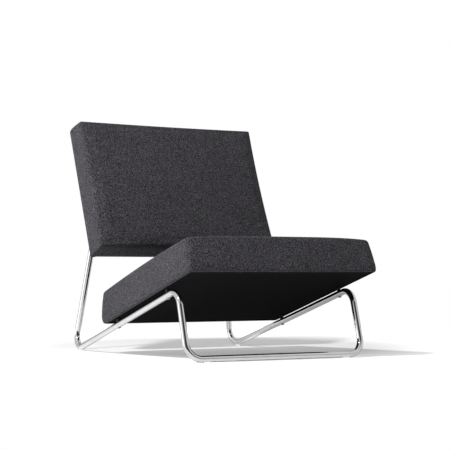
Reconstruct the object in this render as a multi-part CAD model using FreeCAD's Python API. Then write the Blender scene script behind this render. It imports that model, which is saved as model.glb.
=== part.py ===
import FreeCAD, Part
import math
import os
from FreeCAD import Placement, Rotation, Vector

# Cantilever lounge chair, in millimetres: +Z up, the sitter faces -Y, X across the chair.
# One loop of bent round tube carries a thick seat pad and a reclined back pad.

# Frame tube
TUBE_DIAMETER = 20.0
TUBE_WALL = 2.0
BEND_RADIUS = 48.0
RAIL_SPACING = 614.0
RAIL_LENGTH = 809.0
LEG_LEAN = 16.4
UPRIGHT_FORWARD_LEAN = 7.6
UPRIGHT_INWARD_LEAN = 7.1
SPIGOT_LENGTH = 80.0
SPIGOT_WALL = 2.5
SPIGOT_CLEARANCE = 0.15

# Floor glides
GLIDE_RISE = 2.5
GLIDE_LENGTH = 22.0
GLIDE_WIDTH = 12.0
GLIDE_CORNER_RADIUS = 2.0
GLIDE_STEM_DIAMETER = 5.0
GLIDE_STEM_REACH = 3.5
GLIDE_CLEARANCE = 0.1
GLIDE_FROM_LEG = 62.0

# Seat pad
SEAT_TILT = 15.9
SEAT_REACH_PAST_RAIL = 18.0
SEAT_DEPTH = 614.0
SEAT_THICKNESS = 105.0
SEAT_GAP = 9.3
SEAT_OVERHANG = 118.0
SEAT_EDGE_CROWN = 8.0
SEAT_MIDDLE_CROWN = 15.0
SEAT_SIDE_BULGE = 3.0
SEAT_TOP_RADIUS = 12.0
SEAT_CORNER_RADIUS = 16.0
SEAT_BOARD_THICKNESS = 15.0
SEAT_REAR_FIXING_INSET = 66.0
SEAT_FRONT_FIXING_INSET = 187.0

# Back pad
BACK_RECLINE = 22.8
BACK_WIDTH = 664.0
BACK_HEIGHT = 463.0
BACK_THICKNESS = 91.0
BACK_GAP = 9.3
BACK_FOOT_HEIGHT = 316.0
BACK_FOOT_ADVANCE = 196.0
BACK_EDGE_CROWN = 3.0
BACK_MIDDLE_CROWN = 8.0
BACK_SIDE_BULGE = 2.0
BACK_FACE_RADIUS = 8.0
BACK_CORNER_RADIUS = 11.0
BACK_BOARD_THICKNESS = 14.0
BACK_TOP_BAR_INSET = 68.0
BACK_LOWER_FIXING_RISE = 19.0
BACK_UPPER_FIXING_SPACING = 240.0
BACK_BARE_EDGE_INSET = 12.5

# Upholstery
COVER_THICKNESS = 2.0
HEM_WIDTH = 32.0
FILL_CLEARANCE = 0.3
LINING_THICKNESS = 1.2
LINING_INSET = 6.0
BARE_EDGE_CLEARANCE = 0.3

# Fixings
SCREW_DIAMETER = 6.0
SCREW_HOLE_CLEARANCE = 0.3
HEAD_DIAMETER = 10.5
HEAD_HEIGHT = 2.4
HEAD_ROUNDING = 1.8
SOCKET_SIDES = 6
SOCKET_ACROSS_FLATS = 4.0
SOCKET_DEPTH = 1.4
SPACER_DIAMETER = 12.0
SPACER_HOLE_CLEARANCE = 0.5
WASHER_DIAMETER = 12.0
WASHER_MIDDLE = 0.7
NUT_FLANGE_DIAMETER = 19.0
NUT_FLANGE_THICKNESS = 1.5
NUT_BARREL_DIAMETER = 8.0
NUT_LENGTH = 11.0
THREAD_CLEARANCE = 0.1
NUT_CLEARANCE = 0.1

TUBE_RADIUS = TUBE_DIAMETER / 2
HALF_SPACING = RAIL_SPACING / 2
X_AXIS = Vector(1, 0, 0)
Y_AXIS = Vector(0, 1, 0)
Z_AXIS = Vector(0, 0, 1)


def cylinder(radius, start, end):
    """A round bar from one point to another."""
    run = end - start
    return Part.makeCylinder(radius, run.Length, start, run)


def box(x_range, y_range, z_range):
    size = [high - low for low, high in (x_range, y_range, z_range)]
    return Part.makeBox(*size, Vector(x_range[0], y_range[0], z_range[0]))


# Frame directions and corner points

def rail_direction():
    """Up a seat rail, from the rear bend to the front."""
    return Vector(0, -math.cos(math.radians(SEAT_TILT)), math.sin(math.radians(SEAT_TILT)))


def upright_direction(side):
    """Up an upright from the rear bend: leaning forward and towards the middle."""
    forward = math.tan(math.radians(UPRIGHT_FORWARD_LEAN))
    inward = math.tan(math.radians(UPRIGHT_INWARD_LEAN))
    return Vector(-side * inward, -forward, 1).normalize()


def rear_corner_height():
    """Height of the rear bend's sharp corner, so that the bend stands on its glide."""
    rail = rail_direction()
    upright = upright_direction(0)
    half_angle = rail.getAngle(upright) / 2
    bisector = (rail + upright).normalize()
    centre_above_corner = BEND_RADIUS / math.sin(half_angle) * bisector.z
    return GLIDE_RISE + TUBE_RADIUS + BEND_RADIUS - centre_above_corner


def back_placement():
    """The back pad's own frame: X across, Y up the pad, Z out of its front."""
    foot = Vector(0, -BACK_FOOT_ADVANCE, BACK_FOOT_HEIGHT)
    return Placement(foot, Rotation(X_AXIS, 90 - BACK_RECLINE))


def seat_placement():
    """The seat pad's own frame: X across, Y from its front edge to the rear, Z out of its top."""
    lift = Vector(0, math.sin(math.radians(SEAT_TILT)), math.cos(math.radians(SEAT_TILT)))
    below = Vector(0, 0, rear_corner_height()) + lift * (TUBE_RADIUS + SEAT_GAP)
    front = below + rail_direction() * (RAIL_LENGTH + SEAT_OVERHANG)
    return Placement(front, Rotation(X_AXIS, -SEAT_TILT))


def upright_top(side):
    """Where an upright's line meets the plane in which the frame runs up behind the back pad."""
    start = Vector(side * HALF_SPACING, 0, rear_corner_height())
    along = upright_direction(side)
    place = back_placement()
    normal = place.Rotation.multVec(Z_AXIS)
    on_plane = place.multVec(Vector(0, 0, -(BACK_GAP + TUBE_RADIUS)))
    distance = (on_plane - start).dot(normal) / along.dot(normal)
    return start + along * distance


def top_bar_height():
    """How far up the back pad the frame closes behind it."""
    return BACK_HEIGHT - BACK_TOP_BAR_INSET


def frame_corners(side):
    """Sharp corners of one half of the loop, from mid front bar to mid top bar."""
    rear = Vector(side * HALF_SPACING, 0, rear_corner_height())
    front_top = rear + rail_direction() * RAIL_LENGTH
    floor = GLIDE_RISE + TUBE_RADIUS
    front_y = front_top.y - (front_top.z - floor) * math.tan(math.radians(LEG_LEAN))
    shoulder = upright_top(side)
    in_back = back_placement().inverse().multVec(shoulder)
    crown = back_placement().multVec(Vector(in_back.x, top_bar_height(), in_back.z))
    return [
        Vector(0, front_y, floor),
        Vector(side * HALF_SPACING, front_y, floor),
        front_top,
        rear,
        shoulder,
        crown,
        Vector(0, crown.y, crown.z),
    ]


def bent_path(corners):
    """Straight runs joined by tangent arcs of the frame's bend radius."""
    edges = []
    start = corners[0]
    for before, corner, after in zip(corners, corners[1:], corners[2:]):
        back = (before - corner).normalize()
        ahead = (after - corner).normalize()
        half_angle = back.getAngle(ahead) / 2
        tangent = BEND_RADIUS / math.tan(half_angle)
        bisector = (back + ahead).normalize()
        middle = corner + bisector * (BEND_RADIUS / math.sin(half_angle) - BEND_RADIUS)
        bend_start = corner + back * tangent
        bend_end = corner + ahead * tangent
        edges.append(Part.LineSegment(start, bend_start).toShape())
        edges.append(Part.Arc(bend_start, middle, bend_end).toShape())
        start = bend_end
    edges.append(Part.LineSegment(start, corners[-1]).toShape())
    return edges


def swept_round(edges, radius):
    """A round bar along the path, one solid for each run and bend, then joined."""
    pieces = []
    for edge in edges:
        start = edge.valueAt(edge.FirstParameter)
        along = edge.tangentAt(edge.FirstParameter)
        circle = Part.Wire(Part.makeCircle(radius, start, along))
        pieces.append(Part.Wire(edge).makePipe(Part.Face(circle)))
    return pieces[0].multiFuse(pieces[1:]).removeSplitter()


def frame_half(side, radius):
    return swept_round(bent_path(frame_corners(side)), radius)


# Fixing points, in each pad's own frame, and the direction of the tube there

def seat_fixings():
    """Seat fixing points, two on each rail."""
    points = []
    for side in (-1, 1):
        for depth in (SEAT_FRONT_FIXING_INSET, SEAT_DEPTH - SEAT_REAR_FIXING_INSET):
            points.append((Vector(side * HALF_SPACING, depth, 0), Y_AXIS))
    return points


def back_fixings():
    """Back fixing points, two on the upright runs and two on the top bar."""
    shoulder = back_placement().inverse().multVec(upright_top(1))
    lower = shoulder.y + BACK_LOWER_FIXING_RISE
    upper_x = BACK_UPPER_FIXING_SPACING / 2
    points = []
    for side in (-1, 1):
        points.append((Vector(side * shoulder.x, lower, 0), Y_AXIS))
        points.append((Vector(side * upper_x, top_bar_height(), 0), X_AXIS))
    return points


def bars(points, radius, low, high):
    """Round bars through the fixing points, square to the pad, from one height to another."""
    return [cylinder(radius, point + Z_AXIS * low, point + Z_AXIS * high) for point, _ in points]


def tube_stubs(pad, points):
    """The frame tube's outside for a short way each side of each fixing."""
    reach = SPACER_DIAMETER + WASHER_DIAMETER
    stubs = []
    for point, along in points:
        centre = point - Z_AXIS * (pad["gap"] + TUBE_RADIUS)
        stubs.append(cylinder(TUBE_RADIUS, centre - along * reach, centre + along * reach))
    return stubs


def placed(shape, place):
    """A copy of a shape, moved from a pad's frame into the chair's."""
    return shape.transformed(place.toMatrix(), True)


# Upholstered pads, modelled flat in their own frame

def slab_profile(depth, bottom, top, crown, bulge, x):
    """Side profile of a pad at one place across it: flat below, crowned above."""
    middle = (bottom + top) / 2
    corners = [
        Vector(x, 0, bottom),
        Vector(x, depth, bottom),
        Vector(x, depth, top),
        Vector(x, 0, top),
    ]
    rear_middle = Vector(x, depth + bulge, middle)
    crest = Vector(x, depth / 2, top + crown)
    front_middle = Vector(x, -bulge, middle)
    edges = [
        Part.LineSegment(corners[0], corners[1]),
        Part.Arc(corners[1], rear_middle, corners[2]),
        Part.Arc(corners[2], crest, corners[3]),
        Part.Arc(corners[3], front_middle, corners[0]),
    ]
    return Part.Wire([edge.toShape() for edge in edges])


def side_trim(width, depth, bottom, top, bulge, roof):
    """A block with gently rounded flanks that gives a pad its drawn-in sides."""
    half = width / 2
    middle = (bottom + top) / 2
    radius = ((top - bottom) ** 2 / 4 + bulge ** 2) / (2 * bulge)
    roof_half = half + bulge - radius + math.sqrt(radius ** 2 - (roof - middle) ** 2)
    left_foot = Vector(-half, -depth, bottom)
    left_middle = Vector(-half - bulge, -depth, middle)
    left_roof = Vector(-roof_half, -depth, roof)
    right_roof = Vector(roof_half, -depth, roof)
    right_middle = Vector(half + bulge, -depth, middle)
    right_foot = Vector(half, -depth, bottom)
    edges = [
        Part.Arc(left_foot, left_middle, left_roof),
        Part.LineSegment(left_roof, right_roof),
        Part.Arc(right_roof, right_middle, right_foot),
        Part.LineSegment(right_foot, left_foot),
    ]
    outline = Part.Wire([edge.toShape() for edge in edges])
    return Part.Face(outline).extrude(Y_AXIS * 3 * depth)


def crowned_slab(pad, inset):
    """The pad's outer form, drawn in all round by the inset."""
    width = pad["width"] - 2 * inset
    depth = pad["depth"] - 2 * inset
    bottom = inset
    top = pad["thickness"] - inset
    bulge = pad["bulge"]
    reach = width / 2 + 2 * bulge
    crowns = {-reach: pad["edge_crown"], 0: pad["middle_crown"], reach: pad["edge_crown"]}
    profiles = [slab_profile(depth, bottom, top, crowns[x], bulge, x) for x in crowns]
    body = Part.makeLoft(profiles, True, False)
    roof = top + 2 * pad["middle_crown"]
    body = body.common(side_trim(width, depth, bottom, top, bulge, roof))
    body = rounded_edges(body, bottom, pad["corner_radius"] - inset, pad["face_radius"] - inset)
    return body.translated(Y_AXIS * inset)


def rounded_edges(body, bottom, corner_radius, face_radius):
    """Round the four standing corners, then the edges round the crowned face."""
    body = body.makeFillet(corner_radius, [edge for edge in body.Edges if is_standing(edge)])
    height = body.BoundBox.ZMax - bottom
    upper = [edge for edge in body.Edges if edge.BoundBox.ZMin > bottom + height / 2]
    return body.makeFillet(face_radius, upper)


def is_standing(edge):
    """Whether an edge runs up more than it runs across."""
    ends = [vertex.Point for vertex in edge.Vertexes]
    if len(ends) != 2:
        return False
    run = ends[1] - ends[0]
    return abs(run.z) > math.hypot(run.x, run.y)


def spacer_holes(pad, points):
    """Holes that let the spacers through the hem and lining, up to the board."""
    radius = SPACER_DIAMETER / 2 + SPACER_HOLE_CLEARANCE
    return bars(points, radius, -2 * LINING_THICKNESS, 2 * COVER_THICKNESS)


def board_bottom():
    return COVER_THICKNESS + FILL_CLEARANCE


def board_top(pad):
    return board_bottom() + pad["board"]


def bare_edge_lip(pad):
    """The board's lower edge, brought out flush where the cover leaves it bare."""
    half = pad["width"] / 2 - BACK_BARE_EDGE_INSET
    return box((-half, half), (0, 2 * COVER_THICKNESS), (board_bottom(), board_top(pad)))


def bare_edge_notch(pad):
    """What the cover leaves out round the board's bare lower edge."""
    half = pad["width"] / 2 - BACK_BARE_EDGE_INSET + BARE_EDGE_CLEARANCE
    depth = (-2 * pad["bulge"], 2 * COVER_THICKNESS)
    return box((-half, half), depth, (-COVER_THICKNESS, board_top(pad) + BARE_EDGE_CLEARANCE))


def make_board(pad, points):
    """Plywood board with its holes for the threaded inserts."""
    inside = crowned_slab(pad, COVER_THICKNESS + FILL_CLEARANCE)
    reach = pad["width"]
    board = inside.common(box((-reach, reach), (-reach, reach), (0, board_top(pad))))
    if pad["bare_edge"]:
        board = board.fuse(bare_edge_lip(pad)).removeSplitter()
    barrel = bars(points, NUT_BARREL_DIAMETER / 2 + NUT_CLEARANCE, 0, board_top(pad))
    seat = NUT_FLANGE_DIAMETER / 2 + NUT_CLEARANCE
    flange = bars(points, seat, board_top(pad) - NUT_FLANGE_THICKNESS, board_top(pad))
    return board.cut(barrel + flange)


def make_foam(pad):
    """Foam block between the board and the cover."""
    inside = crowned_slab(pad, COVER_THICKNESS + FILL_CLEARANCE)
    reach = pad["width"]
    return inside.common(box((-reach, reach), (-reach, reach), (board_top(pad), reach)))


def make_cover(pad, points):
    """Felt cover: the crowned skin, and the hem that turns in under the board."""
    skin = crowned_slab(pad, 0).cut(crowned_slab(pad, COVER_THICKNESS))
    half = pad["width"] / 2 - HEM_WIDTH
    lower = COVER_THICKNESS if pad["bare_edge"] else HEM_WIDTH
    height = (-COVER_THICKNESS, 2 * COVER_THICKNESS)
    window = box((-half, half), (lower, pad["depth"] - HEM_WIDTH), height)
    skin = skin.cut([window] + spacer_holes(pad, points))
    return skin.cut(bare_edge_notch(pad)) if pad["bare_edge"] else skin


def make_lining(pad, points):
    """Black cloth that closes the pad's underside or rear."""
    half = pad["width"] / 2 - LINING_INSET
    sheet = box((-half, half), (LINING_INSET, pad["depth"] - LINING_INSET), (-LINING_THICKNESS, 0))
    return sheet.cut(spacer_holes(pad, points))


def make_spacers(pad, points):
    """Sleeves between the board and the tube, hollowed to sit on the round tube."""
    blanks = bars(points, SPACER_DIAMETER / 2, -pad["gap"] - TUBE_RADIUS, board_bottom())
    holes = bars(points, screw_hole_radius(), -pad["gap"] - TUBE_RADIUS, board_bottom())
    stubs = tube_stubs(pad, points)
    return [blank.cut([hole, stub]) for blank, hole, stub in zip(blanks, holes, stubs)]


def make_washers(pad, points):
    """Saddle washers that give the screw heads a flat seat on the round tube."""
    low = head_seat(pad)
    blanks = bars(points, WASHER_DIAMETER / 2, low, -pad["gap"] - TUBE_RADIUS)
    holes = bars(points, screw_hole_radius(), low, -pad["gap"] - TUBE_RADIUS)
    stubs = tube_stubs(pad, points)
    return [blank.cut([hole, stub]) for blank, hole, stub in zip(blanks, holes, stubs)]


def make_screws(pad, points):
    """Button-head socket screws up through the tube into the inserts."""
    shanks = bars(points, SCREW_DIAMETER / 2, head_seat(pad), board_top(pad))
    heads = [screw_head(point + Z_AXIS * head_seat(pad)) for point, _ in points]
    return [shank.fuse(head) for shank, head in zip(shanks, heads)]


def make_nuts(pad, points):
    """Threaded inserts with a round flange, let into the board's upper face."""
    top = board_top(pad)
    barrels = bars(points, NUT_BARREL_DIAMETER / 2, top - NUT_LENGTH, top)
    flanges = bars(points, NUT_FLANGE_DIAMETER / 2, top - NUT_FLANGE_THICKNESS, top)
    bores = bars(points, SCREW_DIAMETER / 2 + THREAD_CLEARANCE, 0, top)
    return [barrel.fuse(flange).cut(bore) for barrel, flange, bore in zip(barrels, flanges, bores)]


def screw_head(seat):
    """A low rounded head with a hexagon socket, hanging below its seat."""
    lowest = seat - Z_AXIS * HEAD_HEIGHT
    head = cylinder(HEAD_DIAMETER / 2, seat, lowest)
    rim = [edge for edge in head.Edges if edge.BoundBox.ZMax < seat.z - HEAD_ROUNDING]
    head = head.makeFillet(HEAD_ROUNDING, rim)
    corner = X_AXIS * (SOCKET_ACROSS_FLATS / 2 / math.cos(math.pi / SOCKET_SIDES))
    turns = [Rotation(Z_AXIS, 360 * step / SOCKET_SIDES) for step in range(SOCKET_SIDES)]
    hexagon = [lowest + turn.multVec(corner) for turn in turns]
    socket = Part.Face(Part.makePolygon(hexagon + hexagon[:1])).extrude(Z_AXIS * SOCKET_DEPTH)
    return head.cut(socket)


def head_seat(pad):
    return -(pad["gap"] + TUBE_DIAMETER + WASHER_MIDDLE)


def screw_hole_radius():
    return SCREW_DIAMETER / 2 + SCREW_HOLE_CLEARANCE


# Frame pieces

def screw_holes(pad, points):
    """Holes through both walls of the tube, in the chair's frame."""
    drills = bars(points, screw_hole_radius(), head_seat(pad), 0)
    return [placed(drill, pad["place"]) for drill in drills]


def glide_feet(side):
    """Where one half of the frame meets the floor: below the front bar and the rear bend."""
    corners = frame_corners(side)
    front = Vector(side * (HALF_SPACING - GLIDE_FROM_LEG), corners[1].y, 0)
    rail = rail_direction()
    upright = upright_direction(0)
    half_angle = rail.getAngle(upright) / 2
    bisector = (rail + upright).normalize()
    centre = corners[3] + bisector * (BEND_RADIUS / math.sin(half_angle))
    rear = Vector(corners[3].x, centre.y, 0)
    return {"front": (front, GLIDE_LENGTH, GLIDE_WIDTH), "rear": (rear, GLIDE_WIDTH, GLIDE_LENGTH)}


def make_glide(foot, across, along, tube):
    """A clear foot pad hollowed to the tube, with a stem that plugs into it."""
    pad = box((-across / 2, across / 2), (-along / 2, along / 2), (0, GLIDE_RISE + TUBE_RADIUS))
    upright_edges = [edge for edge in pad.Edges if is_standing(edge)]
    pad = pad.makeFillet(GLIDE_CORNER_RADIUS, upright_edges).translated(foot)
    stem_top = foot + Z_AXIS * (GLIDE_RISE + GLIDE_STEM_REACH)
    stem = cylinder(GLIDE_STEM_DIAMETER / 2, foot + Z_AXIS * GLIDE_RISE / 2, stem_top)
    return pad.cut(tube).fuse(stem)


def glide_hole(foot):
    top = foot + Z_AXIS * (GLIDE_RISE + TUBE_RADIUS)
    return cylinder(GLIDE_STEM_DIAMETER / 2 + GLIDE_CLEARANCE, foot, top)


def make_spigot(centre):
    """Internal sleeve that joins the two halves of the loop."""
    outer = TUBE_RADIUS - TUBE_WALL - SPIGOT_CLEARANCE
    start = centre - X_AXIS * SPIGOT_LENGTH / 2
    end = centre + X_AXIS * SPIGOT_LENGTH / 2
    return cylinder(outer, start, end).cut(cylinder(outer - SPIGOT_WALL, start, end))


SEAT = {
    "width": RAIL_SPACING + 2 * SEAT_REACH_PAST_RAIL,
    "depth": SEAT_DEPTH,
    "thickness": SEAT_THICKNESS,
    "board": SEAT_BOARD_THICKNESS,
    "edge_crown": SEAT_EDGE_CROWN,
    "middle_crown": SEAT_MIDDLE_CROWN,
    "bulge": SEAT_SIDE_BULGE,
    "face_radius": SEAT_TOP_RADIUS,
    "corner_radius": SEAT_CORNER_RADIUS,
    "gap": SEAT_GAP,
    "bare_edge": False,
    "place": seat_placement(),
}

BACK = {
    "width": BACK_WIDTH,
    "depth": BACK_HEIGHT,
    "thickness": BACK_THICKNESS,
    "board": BACK_BOARD_THICKNESS,
    "edge_crown": BACK_EDGE_CROWN,
    "middle_crown": BACK_MIDDLE_CROWN,
    "bulge": BACK_SIDE_BULGE,
    "face_radius": BACK_FACE_RADIUS,
    "corner_radius": BACK_CORNER_RADIUS,
    "gap": BACK_GAP,
    "bare_edge": True,
    "place": back_placement(),
}


def pad_nodes(name, pad, points):
    """Every piece of one upholstered pad and its fixings, in the chair's frame."""
    pieces = {
        "board": [make_board(pad, points)],
        "foam": [make_foam(pad)],
        "cover": [make_cover(pad, points)],
        "lining": [make_lining(pad, points)],
        "spacers": make_spacers(pad, points),
        "saddle_washers": make_washers(pad, points),
        "screws": make_screws(pad, points),
        "threaded_inserts": make_nuts(pad, points),
    }
    nodes = {}
    for piece, solids in pieces.items():
        nodes[name + "_" + piece] = [placed(solid, pad["place"]) for solid in solids]
    return nodes


def frame_nodes():
    """The two halves of the loop, the sleeves that join them and the floor glides."""
    nodes = {}
    holes = screw_holes(SEAT, seat_fixings()) + screw_holes(BACK, back_fixings())
    for side, hand in ((-1, "right"), (1, "left")):
        outside = frame_half(side, TUBE_RADIUS)
        bore = frame_half(side, TUBE_RADIUS - TUBE_WALL)
        feet = glide_feet(side)
        glide_holes = [glide_hole(foot) for foot, _, _ in feet.values()]
        nodes[hand + "_frame_tube"] = [outside.cut([bore] + holes + glide_holes)]
        for place, (foot, across, along) in feet.items():
            nodes[hand + "_" + place + "_glide"] = [make_glide(foot, across, along, outside)]
    corners = frame_corners(1)
    nodes["front_joint_spigot"] = [make_spigot(corners[0])]
    nodes["top_joint_spigot"] = [make_spigot(corners[-1])]
    return nodes


def main():
    nodes = frame_nodes()
    nodes.update(pad_nodes("seat", SEAT, seat_fixings()))
    nodes.update(pad_nodes("back", BACK, back_fixings()))
    whole = Part.makeCompound([solid for solids in nodes.values() for solid in solids])
    extent = whole.optimalBoundingBox(False, False)
    to_middle = Y_AXIS * (-(extent.YMin + extent.YMax) / 2)
    os.makedirs("parts", exist_ok=True)
    for name, solids in nodes.items():
        shape = solids[0] if len(solids) == 1 else Part.makeCompound(solids)
        shape.translated(to_middle).exportStep("parts/" + name + ".step")
    print("middle shift", round(to_middle.y, 4), "extent", extent)


if __name__ == "__main__":
    main()
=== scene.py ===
import bmesh
import bpy
import math
from mathutils import Euler, Matrix, Vector


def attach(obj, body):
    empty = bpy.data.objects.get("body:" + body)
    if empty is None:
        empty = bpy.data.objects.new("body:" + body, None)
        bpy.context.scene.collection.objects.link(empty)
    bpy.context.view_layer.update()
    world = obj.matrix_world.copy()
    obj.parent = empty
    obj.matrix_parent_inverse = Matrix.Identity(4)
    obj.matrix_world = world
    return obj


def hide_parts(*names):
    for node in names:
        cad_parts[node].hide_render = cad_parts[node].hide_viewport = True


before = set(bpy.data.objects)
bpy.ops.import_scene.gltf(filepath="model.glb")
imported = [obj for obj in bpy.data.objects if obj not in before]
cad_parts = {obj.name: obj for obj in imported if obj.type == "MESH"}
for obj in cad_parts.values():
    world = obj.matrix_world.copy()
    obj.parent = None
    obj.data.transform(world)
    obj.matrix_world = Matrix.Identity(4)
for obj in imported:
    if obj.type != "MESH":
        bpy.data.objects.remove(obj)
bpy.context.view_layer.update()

# Cantilever lounge chair, in metres: +Z up, the sitter faces -Y.
#
# Each pad is made flat in its own frame: X across, Y from its foot edge to its far end, Z out
# of its board. A crown is how far the face stands above the plain block. The middle and edge
# crowns fade towards the ends, and the end crown, which fades towards the sides, is added to
# them. A bulge is how far the sides belly out, and the far end has its own. The softening is
# how much rounder the face's edge is at the middle of a side than at a corner.
SEAT = {
    "name": "seat",
    "origin": Vector((0, -0.4435434, 0.2668011)),
    "turn": math.radians(-15.9),
    "width": 0.650,
    "depth": 0.614,
    "height": 0.105,
    "edge_crown": 0.008,
    "middle_crown": 0.015,
    "end_crown": 0.009,
    "bulge": 0.006,
    "far_bulge": 0.018,
    "board": 0.0173,
    "edge_radius": 0.009,
    "edge_softening": 0.006,
    "corner_radius": 0.010,
    "upper_corner_radius": 0.020,
}
BACK = {
    "name": "back",
    "origin": Vector((0, 0.2467034, 0.316)),
    "turn": math.radians(67.2),
    "width": 0.664,
    "depth": 0.463,
    "height": 0.091,
    "edge_crown": 0.003,
    "middle_crown": 0.008,
    "end_crown": 0.001,
    "bulge": 0.004,
    "far_bulge": 0.008,
    "board": 0.0163,
    "edge_radius": 0.005,
    "edge_softening": 0.016,
    "corner_radius": 0.006,
    "upper_corner_radius": 0.006,
}

# Cushions
FOOT_EDGE_RADIUS = 0.0025
FAR_END_SOFTENING = 0.3  # share of the softening that the far end's edge gets
GRID_STEP = 0.009
EDGE_MARGIN = 0.004  # from the rounded edge to the next grid line
SEAM_DEPTH = 0.0014
SEAM_HALF_WIDTH = 0.0013
WAIST = 0.001  # how far the sides pull in between the corners
SLACK = 0.001  # how much smaller the cover is before it fills out
SWELL_LIMIT = 0.004
SWELL_PRESSURE = 4
SWELL_FRAMES = 20
NEAR_ZERO = 1e-6

# Cloths under the boards
LINING_INSET = 0.006
LINING_THICKNESS = 0.0012
LINING_GAP = 0.0001  # between the cloth and its board
LINING_EDGE = 0.001  # from the cloth's edge to the next grid line
LINING_FOLD = 0.012
LINING_FOLD_STEP = 0.0015  # width of the slope beside the fold
LINING_SINGLE_SHARE = 0.6  # of the thickness, where the cloth isn't folded

# Holes for the spacers, in the pad's frame
SPACER_REACH = 0.02
SPACER_HOLE_RADIUS = 0.0065
SPACER_HOLE_START = -0.004
CUSHION_HOLE_END = 0.0024
LINING_HOLE_END = 0.004

# The back board's bare lower edge and the felt's hem above it
BARE_EDGE_HEIGHT = 0.0166
BARE_EDGE_INSET = 0.0122
BARE_EDGE_DEPTH = 0.0042
BARE_EDGE_START = -0.01
HEM_BEAD_RADIUS = 0.0011
HEM_BEAD_IN = 0.2  # from the foot edge, in bead radii
HEM_BEAD_UP = 0.6  # from the bare edge, in bead radii
HEM_BEAD_STEPS = 40

# Camera
CAMERA_PLACE = (-2.1003, -3.8112, 0.2609)
CAMERA_TURN = (math.radians(92.09), 0, math.radians(-29.3))
CAMERA_LENS = 106.56

# Light. A patch is two pairs, each the cosine of the angle from its middle and the level there.
KEY_PLACE = Vector((-2.360, -1.159, 3.128))
KEY_AIM = Vector((0, 0, 0.25))
KEY_POWER = 106
KEY_SIZE = 0.35
WINDOW_SIDE = (-0.975, 0.20, -0.08)
WINDOW_LIGHT = 2.2
FILL_SIDE = (-0.40, -0.60, 0.69)
FILL_LIGHT = 0.14
ROOM_LIGHT = 0.05
BROAD_PATCH = ((0.5, 0.0), (1.0, 1.0))

# The room that metal mirrors
DARK_SIDE = (-0.20, -0.975, 0.10)
MIRRORED_ROOM = ((0.60, 0.66), (0.88, 0.04))
MIRRORED_WINDOW = ((0.87, 0.0), (0.97, 1.0))

# Floor
FLOOR_RADIUS = 2.2
FLOOR_GLOW = 0.33
FLOOR_GLOW_MIDDLE = (0.20, 0.38, 0)
FLOOR_WHITE_START = 0.55  # metres from the glow's middle
FLOOR_WHITE_END = 1.1
FLOOR_DARK_END = 0.5  # metres towards the dark side


# Pad forms

def rolled(distance, radius):
    """How far in and how far short of the rim a point ends that lies this far round an edge."""
    angle = math.pi / 4 * (1 + max(-1, min(1, distance / radius)))
    return radius * (1 - math.cos(angle)), radius * (1 - math.sin(angle))


def ring_point(x, y, half_x, half_y, radius):
    """Round the standing corner that a point of a rectangular ring lies on."""
    core_x = max(-half_x + radius, min(half_x - radius, x))
    core_y = max(-half_y + radius, min(half_y - radius, y))
    offset = Vector((x - core_x, y - core_y))
    if abs(offset.x) < NEAR_ZERO or abs(offset.y) < NEAR_ZERO:
        return x, y
    offset.length = radius
    return core_x + offset.x, core_y + offset.y


def edge_roll(pad, height, z, inward, across, along):
    """What a rounded edge does to a point: its inset, its height and the edge's radius."""
    softening = pad["edge_softening"] * (FAR_END_SOFTENING if along > abs(across) else 1.0)
    radius = pad["edge_radius"] + softening * (1 - min(abs(across), abs(along)) ** 2)
    if z > height - radius:
        inset, drop = rolled(inward if inward > NEAR_ZERO else z - height, radius)
        return inset, height - drop, radius
    if z < FOOT_EDGE_RADIUS:
        inset, low = rolled(inward if inward > NEAR_ZERO else -z, FOOT_EDGE_RADIUS)
        return inset, low, FOOT_EDGE_RADIUS
    return 0.0, z, 0.0


def pad_point(pad, x, y, z):
    """Where a point of the plain block's surface goes on the crowned, soft-edged pad."""
    height = pad["height"] - SLACK
    slack = SLACK * min(1.0, max(0.0, z - pad["board"]) / pad["board"])
    half_x = pad["width"] / 2 - slack
    half_y = pad["depth"] / 2 - slack
    x *= half_x / (pad["width"] / 2)
    y *= half_y / (pad["depth"] / 2)

    # The point's ring, which is rectangular on the block, is moved in and its corners rounded.
    inward = max(0.0, min(half_x - abs(x), half_y - abs(y)))
    across = x / max(half_x - inward, NEAR_ZERO)
    along = y / max(half_y - inward, NEAR_ZERO)
    inset, low, radius = edge_roll(pad, height, z, inward, across, along)
    inset += max(0.0, inward - radius)
    ring_x, ring_y = half_x - inset, half_y - inset
    rise = low / height
    lower, upper = pad["corner_radius"], pad["upper_corner_radius"]
    corner = max(0.0, lower + (upper - lower) * rise ** 0.5 - inset)
    x, y = ring_point(across * ring_x, along * ring_y, ring_x, ring_y, corner)

    # The face is crowned and the sides belly out, less a waist between the corners.
    across, along = x / half_x, y / half_y
    crown = pad["middle_crown"] + (pad["edge_crown"] - pad["middle_crown"]) * across ** 2
    crown = crown * (1 - along ** 2) + pad["end_crown"] * (1 - across ** 4)
    belly = 1 - (2 * rise ** 0.5 - 1) ** 2
    end_bulge = pad["bulge"] if along < 0 else pad["far_bulge"]
    x *= 1 + (pad["bulge"] * belly - WAIST * rise * (1 - along ** 2)) / half_x
    y *= 1 + (end_bulge * belly - WAIST * rise * (1 - across ** 2)) / half_y
    return Vector((x, y + pad["depth"] / 2, low + crown * rise))


def graded(low, high, near_low, near_high):
    """Grid lines from one side to the other: given ones near the ends, even ones between."""
    start, end = low + max(near_low), high - max(near_high)
    count = max(1, round((end - start) / GRID_STEP))
    lines = [low + distance for distance in sorted(near_low)]
    lines += [start + (end - start) * step / count for step in range(1, count)]
    return lines + [high - distance for distance in sorted(near_high, reverse=True)]


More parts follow.
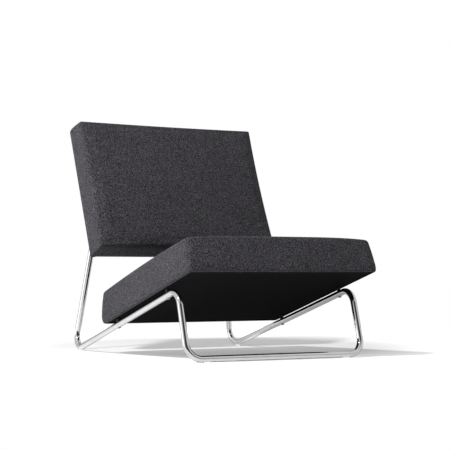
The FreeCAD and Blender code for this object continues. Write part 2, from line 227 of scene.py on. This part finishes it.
def pad_mesh(pad):
    """The pad's closed skin as a quad grid that has a line of points down each corner seam.

    The numbers of the points beside the board, which holds them, come with it.
    """
    radius = pad["edge_radius"]
    roll = [0.0, radius / 3, radius * 2 / 3, radius]
    near = roll + [SEAM_HALF_WIDTH, radius + EDGE_MARGIN]
    foot = [0.0, FOOT_EDGE_RADIUS, 2 * FOOT_EDGE_RADIUS]
    xs = graded(-pad["width"] / 2, pad["width"] / 2, near, near)
    ys = graded(-pad["depth"] / 2, pad["depth"] / 2, near, near)
    zs = graded(0.0, pad["height"] - SLACK, foot, roll)
    side, rear, top = len(xs) - 1, len(ys) - 1, len(zs) - 1
    mesh = bmesh.new()
    made = {}

    def corner(i, j, k):
        if (i, j, k) not in made:
            point = pad_point(pad, xs[i], ys[j], zs[k])
            if i in (0, side) and j in (0, rear) and 0 < k < top:
                point -= Vector((xs[i], ys[j], 0)).normalized() * SEAM_DEPTH
            made[i, j, k] = mesh.verts.new(point)
        return made[i, j, k]

    def face(*keys):
        mesh.faces.new([corner(*key) for key in keys])

    for i in range(side):
        for j in range(rear):
            face((i, j, 0), (i, j + 1, 0), (i + 1, j + 1, 0), (i + 1, j, 0))
            face((i, j, top), (i + 1, j, top), (i + 1, j + 1, top), (i, j + 1, top))
    for k in range(top):
        for i in range(side):
            face((i, 0, k), (i + 1, 0, k), (i + 1, 0, k + 1), (i, 0, k + 1))
            face((i, rear, k), (i, rear, k + 1), (i + 1, rear, k + 1), (i + 1, rear, k))
        for j in range(rear):
            face((0, j, k), (0, j, k + 1), (0, j + 1, k + 1), (0, j + 1, k))
            face((side, j, k), (side, j + 1, k), (side, j + 1, k + 1), (side, j, k + 1))
    mesh.verts.index_update()
    held = [made[key].index for key in made if zs[key[2]] < pad["board"]]
    return as_piece(pad["name"] + "_cushion", mesh), held


def as_piece(name, mesh):
    """A smooth-shaded object from a bmesh, which it uses up."""
    for face in mesh.faces:
        face.smooth = True
    data = bpy.data.meshes.new(name)
    mesh.to_mesh(data)
    mesh.free()
    piece = bpy.data.objects.new(name, data)
    bpy.context.scene.collection.objects.link(piece)
    return piece


def pad_place(pad):
    """From a pad's own frame to the chair's."""
    return Matrix.Translation(pad["origin"]) @ Matrix.Rotation(pad["turn"], 4, "X")


def inflate(piece, held):
    """Fill the cover: cloth under pressure, held along the board, that swells outward a little."""
    group = piece.vertex_groups.new(name="held")
    group.add(held, 1.0, "REPLACE")
    cloth = piece.modifiers.new("filling", "CLOTH")
    settings = cloth.settings
    settings.quality = 6
    settings.mass = 0.4
    settings.tension_stiffness = 40
    settings.compression_stiffness = 40
    settings.shear_stiffness = 20
    settings.bending_stiffness = 4
    settings.use_pressure = True
    settings.uniform_pressure_force = SWELL_PRESSURE
    settings.effector_weights.gravity = 0
    settings.vertex_group_mass = "held"
    cloth.collision_settings.use_collision = False
    scene = bpy.context.scene
    for step in range(1, SWELL_FRAMES + 1):
        scene.frame_set(step)
    swollen = piece.evaluated_get(bpy.context.evaluated_depsgraph_get()).data
    ends = [vertex.co.copy() for vertex in swollen.vertices]
    piece.modifiers.remove(cloth)
    scene.frame_set(1)
    outward = [vertex.normal.copy() for vertex in piece.data.vertices]
    for vertex, normal, end in zip(piece.data.vertices, outward, ends):
        vertex.co += normal * max(0.0, min((end - vertex.co).dot(normal), SWELL_LIMIT))


def bake(piece):
    """Keep what the piece's modifiers make of its mesh, and drop the modifiers."""
    evaluated = piece.evaluated_get(bpy.context.evaluated_depsgraph_get())
    data = bpy.data.meshes.new_from_object(evaluated)
    piece.modifiers.clear()
    piece.data = data


def carve(piece, cutter):
    """Cut one closed piece out of another, and drop the cutter."""
    difference = piece.modifiers.new("carve", "BOOLEAN")
    difference.operation = "DIFFERENCE"
    difference.object = cutter
    difference.solver = "EXACT"
    bake(piece)
    bpy.data.objects.remove(cutter)


def bars(place, points, radius, low, high):
    """Round bars at points of a pad's own frame, as one piece."""
    mesh = bmesh.new()
    for x, y in points:
        matrix = place @ Matrix.Translation((x, y, (low + high) / 2))
        bmesh.ops.create_cone(
            mesh, cap_ends=True, segments=32, radius1=radius, radius2=radius,
            depth=high - low, matrix=matrix,
        )
    return as_piece("bars", mesh)


def block(place, x_range, y_range, z_range):
    """A plain block in a pad's own frame."""
    mesh = bmesh.new()
    bmesh.ops.create_cube(mesh, size=1)
    for vertex in mesh.verts:
        for axis, (low, high) in enumerate((x_range, y_range, z_range)):
            vertex.co[axis] = high if vertex.co[axis] > 0 else low
    mesh.transform(place)
    return as_piece("block", mesh)


def spacer_points(pad):
    """Where the four spacers meet a pad, in its own frame, read from their node."""
    into_pad = pad_place(pad).inverted()
    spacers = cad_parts[pad["name"] + "_spacers"].data
    groups = []
    for vertex in spacers.vertices:
        point = into_pad @ vertex.co
        near = [group for group in groups if (group[0].xy - point.xy).length < SPACER_REACH]
        if near:
            near[0].append(point)
        else:
            groups.append([point])
    centres = []
    for group in groups:
        xs = [point.x for point in group]
        ys = [point.y for point in group]
        centres.append(((min(xs) + max(xs)) / 2, (min(ys) + max(ys)) / 2))
    return centres


def make_cushion(pad):
    """The upholstered pad: felt over foam, filled, sewn at its corners."""
    place = pad_place(pad)
    cushion, held = pad_mesh(pad)
    cushion.data.transform(place)
    inflate(cushion, held)
    smooth = cushion.modifiers.new("smooth", "SUBSURF")
    smooth.levels = smooth.render_levels = 1
    bake(cushion)
    carve(cushion, bars(
        place, spacer_points(pad), SPACER_HOLE_RADIUS, SPACER_HOLE_START, CUSHION_HOLE_END,
    ))
    if pad is BACK:
        half = pad["width"] / 2 - BARE_EDGE_INSET
        carve(cushion, block(
            place, (-half, half), (BARE_EDGE_START, BARE_EDGE_DEPTH),
            (BARE_EDGE_START, BARE_EDGE_HEIGHT),
        ))
    return cushion


def make_lining(pad):
    """Black cloth stretched over the board, with its folded edge round it."""
    place = pad_place(pad)
    half = pad["width"] / 2 - LINING_INSET
    depth = pad["depth"]
    near = [0.0, LINING_EDGE, LINING_FOLD, LINING_FOLD + LINING_FOLD_STEP]
    xs = graded(-half, half, near, near)
    ys = graded(LINING_INSET, depth - LINING_INSET, near, near)
    mesh = bmesh.new()

    def thickness(x, y):
        inward = min(half - abs(x), y - LINING_INSET, depth - LINING_INSET - y)
        folded = inward < LINING_FOLD + NEAR_ZERO
        return LINING_THICKNESS if folded else LINING_THICKNESS * LINING_SINGLE_SHARE

    lower = [[mesh.verts.new((x, y, -thickness(x, y))) for y in ys] for x in xs]
    upper = [[mesh.verts.new((x, y, -LINING_GAP)) for y in ys] for x in xs]
    for i in range(len(xs) - 1):
        for j in range(len(ys) - 1):
            mesh.faces.new([lower[i][j], lower[i][j + 1], lower[i + 1][j + 1], lower[i + 1][j]])
            mesh.faces.new([upper[i][j], upper[i + 1][j], upper[i + 1][j + 1], upper[i][j + 1]])
    for i in range(len(xs) - 1):
        mesh.faces.new([lower[i][0], lower[i + 1][0], upper[i + 1][0], upper[i][0]])
        mesh.faces.new([lower[i + 1][-1], lower[i][-1], upper[i][-1], upper[i + 1][-1]])
    for j in range(len(ys) - 1):
        mesh.faces.new([lower[0][j + 1], lower[0][j], upper[0][j], upper[0][j + 1]])
        mesh.faces.new([lower[-1][j], lower[-1][j + 1], upper[-1][j + 1], upper[-1][j]])
    mesh.transform(place)
    lining = as_piece(pad["name"] + "_underside_cloth", mesh)
    carve(lining, bars(
        place, spacer_points(pad), SPACER_HOLE_RADIUS, SPACER_HOLE_START, LINING_HOLE_END,
    ))
    return lining


def bead(name, points, radius):
    """A thin round roll of cloth along a line of points."""
    curve = bpy.data.curves.new(name, "CURVE")
    curve.dimensions = "3D"
    curve.bevel_depth = radius
    curve.bevel_resolution = 3
    curve.use_fill_caps = True
    spline = curve.splines.new("POLY")
    spline.points.add(len(points) - 1)
    for target, point in zip(spline.points, points):
        target.co = (*point, 1)
    holder = bpy.data.objects.new(name, curve)
    bpy.context.scene.collection.objects.link(holder)
    evaluated = holder.evaluated_get(bpy.context.evaluated_depsgraph_get())
    data = bpy.data.meshes.new_from_object(evaluated)
    bpy.data.objects.remove(holder)
    piece = bpy.data.objects.new(name, data)
    bpy.context.scene.collection.objects.link(piece)
    for polygon in piece.data.polygons:
        polygon.use_smooth = True
    return piece


def make_hem_bead():
    """The felt's turned edge, where it ends above the board's bare lower edge."""
    half = BACK["width"] / 2 - BARE_EDGE_INSET
    place = pad_place(BACK)
    y = HEM_BEAD_RADIUS * HEM_BEAD_IN
    z = BARE_EDGE_HEIGHT + HEM_BEAD_RADIUS * HEM_BEAD_UP
    line = []
    for step in range(HEM_BEAD_STEPS + 1):
        x = -half + 2 * half * step / HEM_BEAD_STEPS
        line.append(place @ Vector((x, y, z)))
    return bead("back_hem_fold", line, HEM_BEAD_RADIUS)


# Materials

class Shader:
    """A material's node tree with short ways to add and join nodes."""

    def __init__(self, name):
        self.material = bpy.data.materials.new(name)
        self.material.use_nodes = True
        self.tree = self.material.node_tree
        self.surface = self.tree.nodes["Principled BSDF"]
        coordinates = self.tree.nodes.new("ShaderNodeTexCoord")
        self.place = coordinates.outputs["Object"]

    def add(self, kind, **inputs):
        """A new node. An input's name has _ where Blender's has a space."""
        node = self.tree.nodes.new("ShaderNode" + kind)
        for name, value in inputs.items():
            self.feed(node, name, value)
        return node

    def feed(self, node, name, value):
        """Set a node's input, or join it to another node's output."""
        socket = node.inputs[name.replace("_", " ")]
        if isinstance(value, bpy.types.NodeSocket):
            self.tree.links.new(value, socket)
        else:
            socket.default_value = value

    def noise(self, scale, detail, roughness):
        """Noise that stays with the object's own place."""
        node = self.add(
            "TexNoise", Vector=self.place, Scale=scale, Detail=detail, Roughness=roughness,
        )
        return node.outputs["Fac"]

    def ramp(self, value, *stops):
        """A colour for each level of a value: stops are (level, colour)."""
        node = self.add("ValToRGB", Fac=value)
        bands = node.color_ramp.elements
        while len(bands) < len(stops):
            bands.new(0.5)
        for band, (level, colour) in zip(bands, stops):
            band.position = level
            band.color = (*colour, 1)
        return node.outputs["Color"]

    def mottled(self, dark, pale, start=0.3, end=0.7, **noise):
        """A colour that wanders between two, from one level of the noise to another."""
        return self.ramp(self.noise(**noise), (start, dark), (end, pale))

    def levels(self, value, low, high, start=0.0, end=1.0):
        """Spread a value's range from start to end over low to high, and hold it beyond."""
        node = self.add(
            "MapRange", Value=value, From_Min=start, From_Max=end, To_Min=low, To_Max=high,
        )
        return node.outputs["Result"]

    def multiplied(self, first, second):
        """The product of two colours."""
        node = self.tree.nodes.new("ShaderNodeMix")
        node.data_type = "RGBA"
        node.blend_type = "MULTIPLY"
        # The node has sockets of the same names for numbers and colours, so these go by number.
        factor, first_colour, second_colour, product = 0, 6, 7, 2
        node.inputs[factor].default_value = 1.0
        self.tree.links.new(first, node.inputs[first_colour])
        self.tree.links.new(second, node.inputs[second_colour])
        return node.outputs[product]

    def relief(self, strength, distance, **noise):
        """Fine bumps over the whole surface."""
        height = self.noise(**noise)
        node = self.add("Bump", Height=height, Strength=strength, Distance=distance)
        self.feed(self.surface, "Normal", node.outputs["Normal"])

    def finish(self, **values):
        """Set the surface's own inputs, and give the material."""
        for name, value in values.items():
            self.feed(self.surface, name, value)
        return self.material


def grey(level):
    """A colour without a hue."""
    return (level, level, level)


def felt():
    """Charcoal felt of mixed dark and pale wool."""
    shader = Shader("charcoal_felt")
    wool = shader.ramp(
        shader.noise(scale=800, detail=4, roughness=0.75),
        (0.34, (0.008, 0.0075, 0.010)),
        (0.48, (0.038, 0.036, 0.042)),
        (0.58, (0.085, 0.080, 0.090)),
        (0.70, (0.330, 0.320, 0.340)),
    )
    clusters = shader.mottled(
        grey(0.33), grey(1.82), start=0.38, end=0.62, scale=240, detail=2, roughness=0.8,
    )
    cloudy = shader.mottled(grey(0.94), grey(1.06), scale=14, detail=2, roughness=0.5)
    shader.relief(strength=0.5, distance=0.0008, scale=1300, detail=4, roughness=0.75)
    return shader.finish(
        Base_Color=shader.multiplied(shader.multiplied(wool, clusters), cloudy),
        Roughness=0.95, Sheen_Weight=0.12, Sheen_Roughness=0.4, Specular_IOR_Level=0.1,
    )


def chrome():
    """Bright plated tube with faint polishing marks."""
    shader = Shader("chrome_tube")
    shader.relief(strength=0.03, distance=0.0005, scale=60, detail=2, roughness=0.5)
    tint = shader.mottled(
        (0.80, 0.80, 0.81), (0.86, 0.86, 0.87), scale=35, detail=2, roughness=0.5,
    )
    polish = shader.noise(scale=220, detail=3, roughness=0.6)
    return shader.finish(
        Base_Color=tint, Metallic=1.0, Specular_Tint=(0.6, 0.6, 0.6, 1),
        Roughness=shader.levels(polish, low=0.04, high=0.09),
    )


def black_cloth():
    """Fine black non-woven cloth."""
    shader = Shader("black_cloth")
    colour = shader.mottled(
        grey(0.005), (0.015, 0.015, 0.016), start=0.35, scale=1500, detail=3, roughness=0.6,
    )
    shader.relief(strength=0.2, distance=0.0003, scale=1200, detail=2, roughness=0.6)
    return shader.finish(Base_Color=colour, Roughness=0.85, Specular_IOR_Level=0.02)


def black_board():
    """Black stained board."""
    shader = Shader("black_board")
    colour = shader.mottled(
        grey(0.010), (0.022, 0.021, 0.020), scale=90, detail=4, roughness=0.6,
    )
    shader.relief(strength=0.2, distance=0.0003, scale=500, detail=3, roughness=0.6)
    return shader.finish(Base_Color=colour, Roughness=0.55)


def birch():
    """Bare birch plywood."""
    shader = Shader("birch_plywood")
    colour = shader.mottled(
        (0.50, 0.34, 0.19), (0.66, 0.49, 0.30), scale=40, detail=5, roughness=0.6,
    )
    return shader.finish(Base_Color=colour, Roughness=0.6)


def dark_sleeve():
    """Dark plastic of the spacers."""
    shader = Shader("dark_sleeve")
    shader.relief(strength=0.15, distance=0.0002, scale=900, detail=2, roughness=0.6)
    colour = shader.mottled(
        (0.012, 0.012, 0.013), (0.024, 0.024, 0.026), scale=300, detail=2, roughness=0.6,
    )
    return shader.finish(Base_Color=colour, Roughness=0.42)


def plain_steel(name):
    """Dull plated steel of the small parts."""
    shader = Shader(name)
    shader.relief(strength=0.08, distance=0.0001, scale=1100, detail=2, roughness=0.6)
    dullness = shader.noise(scale=400, detail=2, roughness=0.6)
    return shader.finish(
        Base_Color=(0.55, 0.55, 0.56, 1), Metallic=1.0,
        Roughness=shader.levels(dullness, low=0.28, high=0.4),
    )


def clear_plastic():
    """Clear plastic of the floor glides."""
    shader = Shader("clear_glide")
    shader.relief(strength=0.05, distance=0.0001, scale=800, detail=2, roughness=0.6)
    haze = shader.noise(scale=500, detail=2, roughness=0.6)
    return shader.finish(
        Base_Color=(0.92, 0.94, 0.95, 1), Transmission_Weight=0.9, IOR=1.49,
        Roughness=shader.levels(haze, low=0.12, high=0.25),
    )


def paint(piece, material):
    """Give a piece one material in place of any it has."""
    piece.data.materials.clear()
    piece.data.materials.append(material)


def dress_frame():
    """Give each rigid node the finish that its name asks for."""
    finishes = {
        "_frame_tube": chrome(),
        "_glide": clear_plastic(),
        "_spigot": plain_steel("sleeve_steel"),
        "seat_board": birch(),
        "back_board": black_board(),
        "_spacers": dark_sleeve(),
        "_saddle_washers": plain_steel("washer_steel"),
        "_screws": plain_steel("plated_screw"),
        "_threaded_inserts": plain_steel("insert_steel"),
    }
    for name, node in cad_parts.items():
        for ending, material in finishes.items():
            if name.endswith(ending):
                paint(node, material)


def dress_pad(pad, felt_finish, cloth_finish):
    """One pad's cushion and its black cloth, in place of the plain solids."""
    name = pad["name"]
    cushion = make_cushion(pad)
    paint(cushion, felt_finish)
    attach(cushion, "root")
    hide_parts(name + "_cover", name + "_foam")
    lining = make_lining(pad)
    paint(lining, cloth_finish)
    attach(lining, "root")
    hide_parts(name + "_lining")


# Light, floor and camera

def join(tree, operation, *values, kind="ShaderNodeMath"):
    """A math node's output, from numbers or other nodes' outputs."""
    node = tree.nodes.new(kind)
    node.operation = operation
    for socket, value in zip(node.inputs, values):
        if isinstance(value, bpy.types.NodeSocket):
            tree.links.new(value, socket)
        else:
            socket.default_value = value
    return node.outputs["Value"]


def light_path(tree, *kinds):
    """1 for a ray of any of these kinds, and 0 for the rest."""
    rays = tree.nodes.new("ShaderNodeLightPath").outputs
    found = rays["Is %s Ray" % kinds[0]]
    for kind in kinds[1:]:
        found = join(tree, "MAXIMUM", found, rays["Is %s Ray" % kind])
    return found


def graded_light(tree, side, stops):
    """Light that changes with the angle from one side of the room: stops are (cosine, level)."""
    ray = tree.nodes.new("ShaderNodeTexCoord").outputs["Generated"]
    node = tree.nodes.new("ShaderNodeValToRGB")
    for band, (cosine, level) in zip(node.color_ramp.elements, stops):
        band.position = cosine
        band.color = (*grey(level), 1)
    cosine = join(tree, "DOT_PRODUCT", ray, side, kind="ShaderNodeVectorMath")
    tree.links.new(cosine, node.inputs["Fac"])
    return node.outputs["Color"]


def light_studio():
    """A dim room with a broad window on the chair's right, a weak fill and a key lamp.

    Metal mirrors a simpler room: pale, dark before the chair, and bright at the window. The
    camera sees white, and so do rays through clear plastic.
    """
    scene = bpy.context.scene
    scene.view_settings.view_transform = "Standard"
    sky = bpy.data.worlds.new("studio")
    scene.world = sky
    sky.use_nodes = True
    tree = sky.node_tree
    window = graded_light(tree, WINDOW_SIDE, BROAD_PATCH)
    fill = graded_light(tree, FILL_SIDE, BROAD_PATCH)
    lit = join(tree, "MULTIPLY_ADD", fill, FILL_LIGHT, ROOM_LIGHT)
    lit = join(tree, "MULTIPLY_ADD", window, WINDOW_LIGHT, lit)
    room = graded_light(tree, DARK_SIDE, MIRRORED_ROOM)
    glint = graded_light(tree, WINDOW_SIDE, MIRRORED_WINDOW)
    levels = tree.nodes.new("ShaderNodeMix")
    tree.links.new(light_path(tree, "Glossy"), levels.inputs["Factor"])
    tree.links.new(lit, levels.inputs["A"])
    tree.links.new(join(tree, "ADD", room, glint), levels.inputs["B"])
    white = light_path(tree, "Camera", "Transmission")
    shown = join(tree, "MAXIMUM", levels.outputs["Result"], white)
    background = tree.nodes["Background"]
    background.inputs["Color"].default_value = (1, 1, 1, 1)
    tree.links.new(shown, background.inputs["Strength"])
    lamp = bpy.data.lights.new("key", "AREA")
    lamp.energy = KEY_POWER
    lamp.size = KEY_SIZE
    key = bpy.data.objects.new("key", lamp)
    key.location = KEY_PLACE
    key.rotation_mode = "QUATERNION"
    key.rotation_quaternion = (KEY_AIM - KEY_PLACE).to_track_quat("-Z", "Y")
    scene.collection.objects.link(key)


def lay_floor():
    """A white floor that keeps the chair's shadow under a glow that rises to plain white away from
    it.

    In metal it shows a painted glow, pale under and behind the chair and dark before it.
    """
    mesh = bmesh.new()
    bmesh.ops.create_circle(mesh, cap_ends=True, segments=96, radius=FLOOR_RADIUS)
    floor = as_piece("floor", mesh)
    shader = Shader("floor")
    tree = shader.tree
    vector = "ShaderNodeVectorMath"
    away = join(tree, "DISTANCE", shader.place, FLOOR_GLOW_MIDDLE, kind=vector)
    seen = shader.levels(away, FLOOR_GLOW, 1.0, start=FLOOR_WHITE_START, end=FLOOR_WHITE_END)
    seen = join(tree, "MULTIPLY", seen, light_path(tree, "Camera", "Transmission"))
    # Painted glow that only metal sees: pale under and behind the chair, none before it.
    before = join(tree, "DOT_PRODUCT", shader.place, DARK_SIDE, kind=vector)
    mirrored_glow = shader.levels(before, FLOOR_GLOW, 0.0, end=FLOOR_DARK_END)
    mirrored_glow = join(tree, "MULTIPLY", mirrored_glow, light_path(tree, "Glossy"))
    grain = shader.mottled(grey(0.90), grey(0.92), scale=3, detail=2, roughness=0.5)
    paint(floor, shader.finish(
        Base_Color=grain, Roughness=1.0, Specular_IOR_Level=0.0,
        Emission_Color=(1, 1, 1, 1), Emission_Strength=join(tree, "ADD", seen, mirrored_glow),
    ))


def place_camera():
    """The photograph's viewpoint."""
    data = bpy.data.cameras.new("camera")
    data.lens = CAMERA_LENS
    camera = bpy.data.objects.new("camera", data)
    camera.location = CAMERA_PLACE
    camera.rotation_euler = Euler(CAMERA_TURN)
    bpy.context.scene.collection.objects.link(camera)
    bpy.context.scene.camera = camera


place_camera()
light_studio()
lay_floor()
dress_frame()
felt_finish = felt()
cloth_finish = black_cloth()
dress_pad(SEAT, felt_finish, cloth_finish)
dress_pad(BACK, felt_finish, cloth_finish)
hem = make_hem_bead()
paint(hem, felt_finish)
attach(hem, "root")
